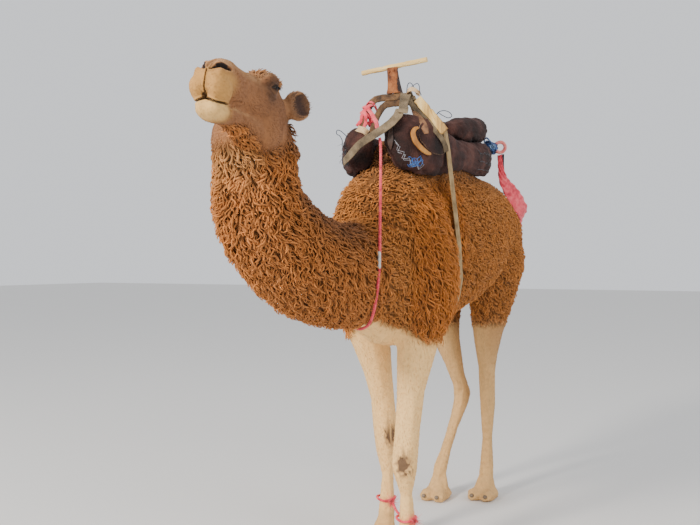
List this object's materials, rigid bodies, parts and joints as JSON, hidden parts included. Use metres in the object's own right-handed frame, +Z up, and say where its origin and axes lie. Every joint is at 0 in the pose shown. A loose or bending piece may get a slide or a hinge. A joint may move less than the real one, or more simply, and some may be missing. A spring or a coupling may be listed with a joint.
{
  "type": "saddled dromedary camel",
  "caption": "Standing dromedary camel in a woolly coat with its head raised and turned, wearing a padded trekking saddle with a handle, girth, crupper and hobbles.",
  "frame": {"origin": "middle of the bounding box on the floor, under the belly", "axes": "-Y is the way the body faces, +X is the camel's left side, +Z is up"},
  "size_m": [0.6672, 3.1784, 2.3744],
  "materials": {
    "blue_cord": "knotted dark blue cord",
    "body_wool": "curly golden brown wool",
    "brown_wood": "worn brown wood",
    "eye": "wet dark brown",
    "felt": "dark red-brown felt",
    "foot_hair": "short greyish tan hair",
    "head_hair": "short brown hair, paler on the muzzle",
    "leg_hair": "short cream hair",
    "neck_wool": "thick clumped tan brown wool",
    "pale_wood": "bare weathered wood",
    "pink_cloth": "pink cloth band",
    "pink_rope": "twisted pink rope",
    "ring": "salmon pink plastic",
    "rusted_steel": "rusted steel bar",
    "tail_hair": "long dark brown hair",
    "toenail": "dull horn",
    "webbing": "khaki webbing"
  },
  "bodies": {
    "root": {"trunk": "body_wool", "head": "head_hair", "neck_upper": "neck_wool", "neck_lower": "neck_wool", "foreleg_left_upper": "leg_hair", "foreleg_left_lower": "leg_hair", "forefoot_left": "foot_hair", "hindleg_left_upper": "leg_hair", "hindleg_left_lower": "leg_hair", "hindfoot_left": "foot_hair", "shoulder_left": "body_wool", "thigh_left": "body_wool", "foreleg_right_upper": "leg_hair", "foreleg_right_lower": "leg_hair", "forefoot_right": "foot_hair", "hindleg_right_upper": "leg_hair", "hindleg_right_lower": "leg_hair", "hindfoot_right": "foot_hair", "shoulder_right": "body_wool", "thigh_right": "body_wool", "hump": "body_wool", "ear_left": "head_hair", "eye_left": "eye", "toenail_fore_left_inner": "toenail", "toenail_fore_left_outer": "toenail", "toenail_hind_left_inner": "toenail", "toenail_hind_left_outer": "toenail", "ear_right": "head_hair", "eye_right": "eye", "toenail_fore_right_outer": "toenail", "toenail_fore_right_inner": "toenail", "toenail_hind_right_outer": "toenail", "toenail_hind_right_inner": "toenail", "tail_root": "body_wool", "tail_tuft": "tail_hair", "handle_bar": "pale_wood", "handle_post": "rusted_steel", "arch_front": "rusted_steel", "arch_rear": "rusted_steel", "rail_left": "brown_wood", "rail_right": "brown_wood", "plank": "pale_wood", "pad_left": "felt", "pad_right": "felt", "pad_rear": "felt", "flap_left": "brown_wood", "girth_strap": "webbing", "breast_rope": "pink_rope", "hobble_left": "pink_rope", "hobble_right": "pink_rope", "hobble_link": "pink_rope", "front_strap": "webbing", "crupper": "pink_cloth", "knot_front": "pink_rope", "knot_rear": "blue_cord", "ring_rear": "ring"}
  },
  "joints": []
}
